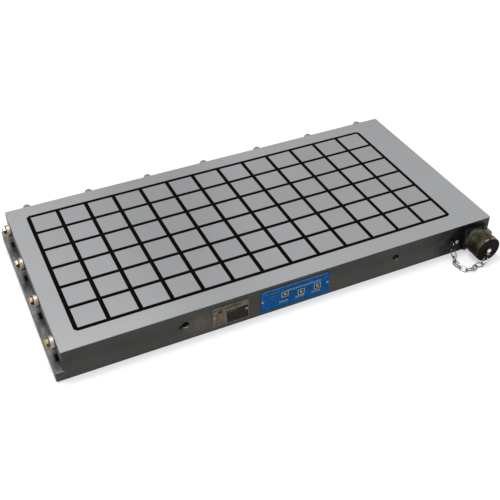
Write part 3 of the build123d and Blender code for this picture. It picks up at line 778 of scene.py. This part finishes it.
# %% Hexagon screws of the stops
screw_shapes = []
for name in stops:
    low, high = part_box(name)
    middle = (low + high) / 2
    if name.startswith("left"):
        change = on_wall((left_wall, middle.y, stop_axis_level), (-1, 0, 0))
    else:
        change = on_wall((middle.x, far_wall, stop_axis_level), (0, 1, 0))
    screw_shapes.append((screw_corners, screw_faces, change))
hexagon_screws = add_piece("hexagon_screws", screw_shapes, "chuck", yellow_zinc())
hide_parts("stop_screws")
print("hexagon screws:", len(screw_shapes))

# %% [markdown]
# A thread is a ridge that climbs round an axis. Each turn has equally many points, and every point lies
# a little higher than the one before, by the pitch divided by the points of a turn.
# Three lines of points make the ridge: two in the wall of the bore or barrel, and the crest between them.
# The lifting holes get an inner thread of 12 mm, whose oily turns catch a little light.

# %% Threads of the lifting holes
def thread(root, crest, start, end, pitch, points=40):
    """A helical ridge along Z between two heights. The crest lies inside or outside the root."""
    turns = int((end - start) / pitch - 1)
    corners, faces = [], []
    steps = turns * points
    for step in range(steps + 1):
        angle = tau * step / points
        height = start + pitch * step / points
        fade = min(1.0, step / points, (steps - step) / points)
        reach = root + (crest - root) * fade
        for radius, rise in ((root, 0.0), (reach, 0.5 * pitch), (root, pitch)):
            corners.append((radius * cos(angle), radius * sin(angle), height + rise))
    for step in range(steps):
        lower, upper = 3 * step, 3 * step + 3
        faces += [(lower, upper, upper + 1, lower + 1), (lower + 1, upper + 1, upper + 2, lower + 2)]
    return corners, faces


def oily_thread():
    """Bright cut steel under patches of dark oil."""
    made, tree, shader = new_finish("bright_thread", 1.0, 0.3)
    oil = noise(tree, places(tree), 400.0)
    feed(tree, shader, base_color=blend(tree, oil, (0.012, 0.011, 0.01), (0.16, 0.15, 0.14)))
    return made


hole_thread = thread(5.42 * MM, 4.95 * MM, -21.0 * MM, -1.6 * MM, 1.75 * MM)
hole_shapes = []
for wall, outward in ((near_wall, (0, -1, 0)), (far_wall, (0, 1, 0))):
    for place in (-hole_spacing / 2, hole_spacing / 2):
        hole_shapes.append((*hole_thread, on_wall((place, wall, hole_level), outward)))
add_piece("lifting_hole_threads", hole_shapes, "chuck", oily_thread())
print("threaded holes:", len(hole_shapes), "with", len(hole_thread[1]), "faces each")

# %% [markdown]
# Power reaches the coils through a round receptacle with a square flange, near the right end.
# A metal dust cap with an olive finish is screwed over it.
# The finish is old: dark brown shows through in patches, and the lower half and the end face are painted
# near black, as painted shade;
# the rim is rubbed where hands have gripped it, and painted brighter where it looks up, as painted
# highlight.
# The distance from the connector's axis tells the finish where the rim is.

# %% Dust cap
cap_low, cap_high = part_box("dust_cap")
cap_axis = ((cap_low.x + cap_high.x) / 2, 0.0, (cap_low.z + cap_high.z) / 2)
cap_radius = (cap_high.x - cap_low.x) / 2
cap_start = near_wall - 20.0 * MM


def from_cap_axis(tree):
    """The distance from the connector's axis."""
    offset = vectors(tree, "SUBTRACT", places(tree), cap_axis)
    return length(tree, vectors(tree, "MULTIPLY", offset, (1, 0, 1)))


def cap_tone(tree, cloudy_share):
    """Olive on the grip, dusty at the right, greenish near the flange."""
    olive = blend(tree, cloudy_share, (0.022, 0.017, 0.008), (0.062, 0.056, 0.034))
    right = spread(tree, coordinate(tree, "X"), cap_axis[0] + 2.0 * MM, cap_axis[0] + 17.0 * MM)
    olive = blend(tree, right, olive, (0.105, 0.099, 0.078))
    by_flange = spread(tree, coordinate(tree, "Y"), cap_start - 4.0 * MM, cap_start)
    green = blend(tree, cloudy_share, (0.022, 0.024, 0.017), (0.078, 0.084, 0.066))
    return blend(tree, by_flange, olive, green)


def rubbed_rim_highlight(tree, scuffs):
    """1 where the rim of the end face is rubbed, most where it looks up, as painted highlight."""
    near_rim = spread(tree, from_cap_axis(tree), cap_radius - 2.4 * MM, cap_radius - 1.4 * MM)
    rim_end = spread(tree, coordinate(tree, "Y"), cap_low.y + 2.4 * MM, cap_low.y + 1.4 * MM)
    worn = product(tree, product(tree, near_rim, rim_end), spread(tree, scuffs, 0.42, 0.6))
    # Painted highlight: the rubbed rim is brightest where it looks up.
    return product(tree, worn, spread(tree, facing(tree, "Z"), 0.3, 0.6, 0.06, 1.0))


def cap_metal():
    """Olive plating, painted near black below and on its end as painted shade, with a rubbed rim that has a
    painted highlight.
    """
    made, tree, shader = new_finish("cap_metal", 0.1, 0.45)
    shader.inputs["Specular IOR Level"].default_value = 0.04
    cloudy_share = spread(tree, noise(tree, places(tree), 85.0, 4.0, 0.6), 0.36, 0.64)
    # Painted shade: the lower half is painted near black.
    underside_shade = spread(tree, facing(tree, "Z"), 0.1, 0.7, 1.0, 0.0)
    skin = blend(tree, underside_shade, cap_tone(tree, cloudy_share), (0.006, 0.005, 0.004))
    # Painted shade: the end face is painted near black.
    end = blend(tree, cloudy_share, (0.001, 0.0008, 0.0006), (0.006, 0.0045, 0.0035))
    skin = blend(tree, spread(tree, facing(tree, "Y"), -0.9, -0.8, 1.0, 0.0), skin, end)
    scuffs = noise(tree, places(tree), 240.0, 4.0, 0.7)
    skin = blend(tree, rubbed_rim_highlight(tree, scuffs), skin, (0.34, 0.32, 0.27))
    feed(tree, shader, base_color=skin, normal=bumps(tree, scuffs, 4e-5))
    return made


wear(cap_metal(), "dust_cap")
print("dust cap diameter:", round(2 * cap_radius / MM, 1), "mm")

# %% [markdown]
# The receptacle's flange is nearly black, and its barrel is green-grey and dusty.
# The other parts are small: rubber gaskets, moulded insulators, gilt contacts and blackened screws.
# Two finishes with their tones left open serve them all, one for mouldings and one for metal.

# %% Receptacle and its small parts
def shell_metal():
    """Black-green plating of the receptacle, dulled by dust."""
    made, tree, shader = new_finish("shell_metal", 0.1, 0.45)
    shader.inputs["Specular IOR Level"].default_value = 0.04
    clouds = noise(tree, places(tree), 90.0, 4.0, 0.6)
    flange = cloudy(tree, clouds, (0.002, 0.003, 0.002), (0.009, 0.011, 0.009), 0.3, 0.7)
    barrel = cloudy(tree, clouds, (0.028, 0.031, 0.024), (0.082, 0.087, 0.07), 0.3, 0.7)
    is_barrel = spread(tree, coordinate(tree, "Y"), near_wall - 4.6 * MM, near_wall - 4.4 * MM, 1.0, 0.0)
    feed(tree, shader, base_color=blend(tree, is_barrel, flange, barrel), normal=bumps(tree, clouds, 3e-5))
    return made


def moulding(name, colour, roughness):
    """Moulded plastic or rubber with a fine grain."""
    made, tree, shader = new_finish(name, 0.0, roughness)
    grain = noise(tree, places(tree), 700.0, 3.0)
    pale = tuple(1.8 * part for part in colour)
    feed(tree, shader, base_color=blend(tree, grain, colour, pale), normal=bumps(tree, grain, 2e-5))
    return made


def small_metal(name, dark, light, roughness, scale=180.0):
    """A small metal part with a cloudy tone and a few scratches."""
    made, tree, shader = new_finish(name, 1.0, roughness)
    clouds = noise(tree, places(tree), scale, 4.0, 0.6)
    feed(tree, shader, base_color=cloudy(tree, clouds, dark, light), normal=bumps(tree, clouds, 2e-5))
    return made


shell_finish = shell_metal()
gold = small_metal("gold_contact", (0.7, 0.5, 0.18), (0.85, 0.66, 0.3), 0.2)
black_screw = small_metal("black_screw", (0.012, 0.012, 0.012), (0.07, 0.068, 0.065), 0.34)
wear(shell_finish, "receptacle_shell")
wear(moulding("rubber", (0.008, 0.008, 0.008), 0.6), "connector_gasket", "dust_cap_liner", "cover_gasket")
wear(moulding("insulator", (0.02, 0.02, 0.02), 0.4), "receptacle_insert", "terminal_block")
wear(moulding("lead_cover", (0.35, 0.02, 0.015), 0.45), "lead_wires")
wear(gold, "contacts", "terminal_screws")
wear(black_screw, "flange_screws", "cover_screws")
wear(small_metal("cover_steel", (0.3, 0.3, 0.3), (0.42, 0.42, 0.42), 0.4), "wiring_cover")
print("receptacle finished")

# %% [markdown]
# The dust cap runs on a thread round the receptacle's barrel. The cap hides it at rest,
# and it comes into view when the cap is unscrewed, so it is worth making.

# %% Thread of the barrel
barrel_thread = thread(20.48 * MM, 20.74 * MM, 5.0 * MM, 37.6 * MM, 1.5 * MM, 72)
barrel_change = on_wall((cap_axis[0], near_wall, cap_axis[2]), (0, -1, 0))
add_piece("barrel_thread", [(*barrel_thread, barrel_change)], "chuck", shell_finish)
print("barrel thread faces:", len(barrel_thread[1]))

# %% [markdown]
# The chain that keeps the cap is plated steel wire. Plating on such small parts tarnishes in spots,
# so bright and brown-black places lie close together, and the links glitter against the pale floor.
# The wire is also painted bright where it looks up and brown-black below, as painted light and shade.
# Roughness stays low, because a small round wire shows its highlights only when they are sharp.

# %% Chain and rivets
def chain_metal():
    """Tarnished plating, brown-black in spots, and painted bright where it looks up and brown-black below,
    as painted light and shade.
    """
    made, tree, shader = new_finish("chain_steel", 1.0, 0.28)
    shader.inputs["Specular IOR Level"].default_value = 0.1
    clouds = noise(tree, places(tree), 210.0, 4.0, 0.6)
    # Painted light and shade: the wire's tone follows which way it looks, mixed with tarnish spots.
    bright = spread(tree, sums(tree, "ADD", facing(tree, "Z"), clouds), 1.0, 1.35)
    tone = blend(tree, bright, (0.012, 0.009, 0.008), (0.56, 0.52, 0.5))
    feed(tree, shader, base_color=tone, metallic=bright)
    return made


wear(chain_metal(), "chain_cap_links", "chain_wall_links", "cap_chain_tab", "wall_chain_tab")
wear(small_metal("screw_steel", (0.35, 0.33, 0.32), (0.9, 0.88, 0.86), 0.26, 300.0), "chain_screw")
wear(small_metal("rubbed_rivet", (0.55, 0.54, 0.52), (0.9, 0.89, 0.87), 0.25, 300.0), "cap_rivet")
wear(small_metal("rivet_metal", (0.12, 0.115, 0.11), (0.36, 0.35, 0.33), 0.4, 300.0), "plate_rivets")
print("chain and rivets finished")

# %% [markdown]
# Two thin plates are riveted to the near side: one plain yellowish metal, one blue.
# Both are printed with generic fields only: rules, dashes, frames and tints, and no words.
# The fields are drawn by the finish itself, from the position on the plate.
# A field is a rectangle whose edges are soft over a fifth of a millimetre, as in real print.

# %% Helpers for print
soft_edge = 0.1


def field(tree, centre, level, size):
    """1 inside a rectangle on the near side, 0 outside. Centre, level and size are in millimetres."""
    inside = []
    for axis, middle, extent in (("X", centre, size[0]), ("Z", level, size[1])):
        away = sums(tree, "ABSOLUTE", beyond(tree, axis, middle * MM))
        low, high = (extent / 2 - soft_edge) * MM, (extent / 2 + soft_edge) * MM
        inside.append(spread(tree, away, low, high, 1.0, 0.0))
    return product(tree, *inside)


def dashes(tree, centre, level, count, size, pitch):
    """A row of short dashes: one long field, cut by a repeating gap."""
    row = field(tree, centre, level, (count * pitch, size[1]))
    limits = {0: beyond(tree, "X", (centre - count * pitch / 2) * MM), 1: pitch * MM, 2: 0.0}
    wrapped = add(tree, "ShaderNodeMath", limits, operation="WRAP").outputs[0]
    drawn = spread(tree, wrapped, (size[0] - soft_edge) * MM, (size[0] + soft_edge) * MM, 1.0, 0.0)
    return product(tree, row, drawn)


def printed(tree, skin, prints):
    """A skin with inks laid over it, one after the other."""
    for shape, ink in prints:
        skin = blend(tree, shape, skin, ink)
    return skin


def plate_middle(name):
    """The middle of a plate along X and Z, in millimetres."""
    low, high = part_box(name)
    return (low.x + high.x) / 2 / MM, (low.z + high.z) / 2 / MM


print("print helpers ready")

# %% [markdown]
# The yellowish plate carries a black table with pale rules, a row of small brown marks above it
# and a few worn tints at its left. The metal shows through the wear as a warm mottling.

# %% Yellowish plate
def data_plate_metal():
    """Yellowish metal with a ruled black table and small worn marks."""
    made, tree, shader = new_finish("data_plate_metal", 0.4, 0.5)
    shader.inputs["Specular IOR Level"].default_value = 0.08
    clouds = noise(tree, places(tree), 120.0, 5.0, 0.65)
    metal = cloudy(tree, clouds, (0.062, 0.047, 0.036), (0.165, 0.135, 0.105), 0.34, 0.66)
    x, z = plate_middle("data_plate")
    table_x, table_z = x + 12.0, z - 5.8
    faded = (0.06, 0.045, 0.034)
    prints = [(field(tree, table_x, table_z, (38.0, 26.0)), (0.003, 0.0025, 0.002))]
    for row in range(5):
        level = table_z + 8.4 - 4.6 * row
        prints.append((field(tree, table_x, level, (35.0, 0.8)), (0.085, 0.08, 0.07)))
    prints += [
        (dashes(tree, table_x - 8.0, table_z + 10.6, 4, (2.6, 2.4), 4.2), (0.05, 0.09, 0.10)),
        (dashes(tree, x + 4.0, z + 13.6, 6, (3.6, 4.4), 5.0), (0.03, 0.019, 0.013)),
        (dashes(tree, x + 4.0, z + 13.6, 6, (1.4, 2.0), 5.0), (0.16, 0.13, 0.1)),
        (dashes(tree, x - 21.0, z + 14.4, 3, (3.2, 2.4), 5.0), (0.02, 0.016, 0.013)),
        (field(tree, x - 19.0, z + 9.4, (6.0, 4.6)), (0.014, 0.011, 0.009)),
        (field(tree, x - 11.0, z - 1.0, (2.4, 30.0)), (0.13, 0.11, 0.088)),
        (dashes(tree, x - 20.0, z - 3.0, 3, (2.8, 1.2), 4.4), faded),
        (dashes(tree, x - 20.0, z - 7.0, 3, (2.8, 1.2), 4.4), faded),
        (dashes(tree, x - 19.0, z - 14.0, 5, (2.6, 1.2), 4.4), faded),
    ]
    feed(tree, shader, base_color=printed(tree, metal, prints))
    return made


wear(data_plate_metal(), "data_plate")
print("yellowish plate printed")

# %% [markdown]
# The blue plate has three small framed fields, with dashes above and below them.
# The blue is dark and a little cloudy. Chalky specks sit in the print, where the lacquer has worn.

# %% Blue plate
def colour_plate_metal():
    """Dark blue enamel with a pale border line, dashes and three framed fields."""
    made, tree, shader = new_finish("colour_plate_metal", 0.0, 0.45)
    shader.inputs["Specular IOR Level"].default_value = 0.03
    clouds = noise(tree, places(tree), 90.0, 5.0, 0.65)
    enamel = cloudy(tree, clouds, (0.001, 0.050, 0.15), (0.003, 0.080, 0.255), 0.34, 0.66)
    pale, grey = (0.16, 0.21, 0.27), (0.30, 0.29, 0.24)
    teal, dark = (0.03, 0.13, 0.15), (0.012, 0.016, 0.022)
    x, z = plate_middle("colour_plate")
    prints = [
        (field(tree, x, z + 20.4, (122.0, 0.8)), pale),
        (dashes(tree, x + 17.0, z + 9.6, 13, (3.6, 3.2), 5.0), pale),
        (dashes(tree, x - 42.0, z + 13.0, 6, (3.0, 2.4), 4.6), teal),
        (dashes(tree, x - 44.0, z + 6.0, 4, (3.0, 2.0), 4.6), teal),
    ]
    for place, rise in ((-20.0, 3.5), (11.0, -3.0), (42.0, -1.0)):
        centre, level = x + place, z + rise
        for size, tint in (((13.0, 12.0), grey), ((10.4, 9.4), dark), ((5.0, 4.4), grey)):
            prints.append((field(tree, centre, level, size), tint))
        prints.append((dashes(tree, centre - 2.0, z - 11.5, 4, (3.2, 2.4), 4.4), grey))
        prints.append((dashes(tree, centre - 4.0, z - 16.0, 5, (2.8, 1.8), 4.4), teal))
    specks = noise(tree, places(tree), 420.0, 3.0, 0.7)
    worn = product(tree, spread(tree, specks, 0.56, 0.68), spread(tree, clouds, 0.45, 0.6))
    prints.append((product(tree, worn, 0.5), (0.12, 0.13, 0.11)))
    feed(tree, shader, base_color=printed(tree, enamel, prints))
    return made


wear(colour_plate_metal(), "colour_plate")
print("blue plate printed")

# %% [markdown]
# The floor is plain, pale and matt, like a light table: part of its light is its own.
# It lights the lower parts from below and keeps the contact shadows faint.

# %% Floor finish
def light_table():
    """A matt surface with a light of its own."""
    made, tree, shader = new_finish("floor_finish", 0.0, 0.7)
    shader.inputs["Emission Color"].default_value = (1.0, 1.0, 1.0, 1.0)
    shader.inputs["Emission Strength"].default_value = 0.45
    return made


wear(light_table(), "floor")
print("floor finished")
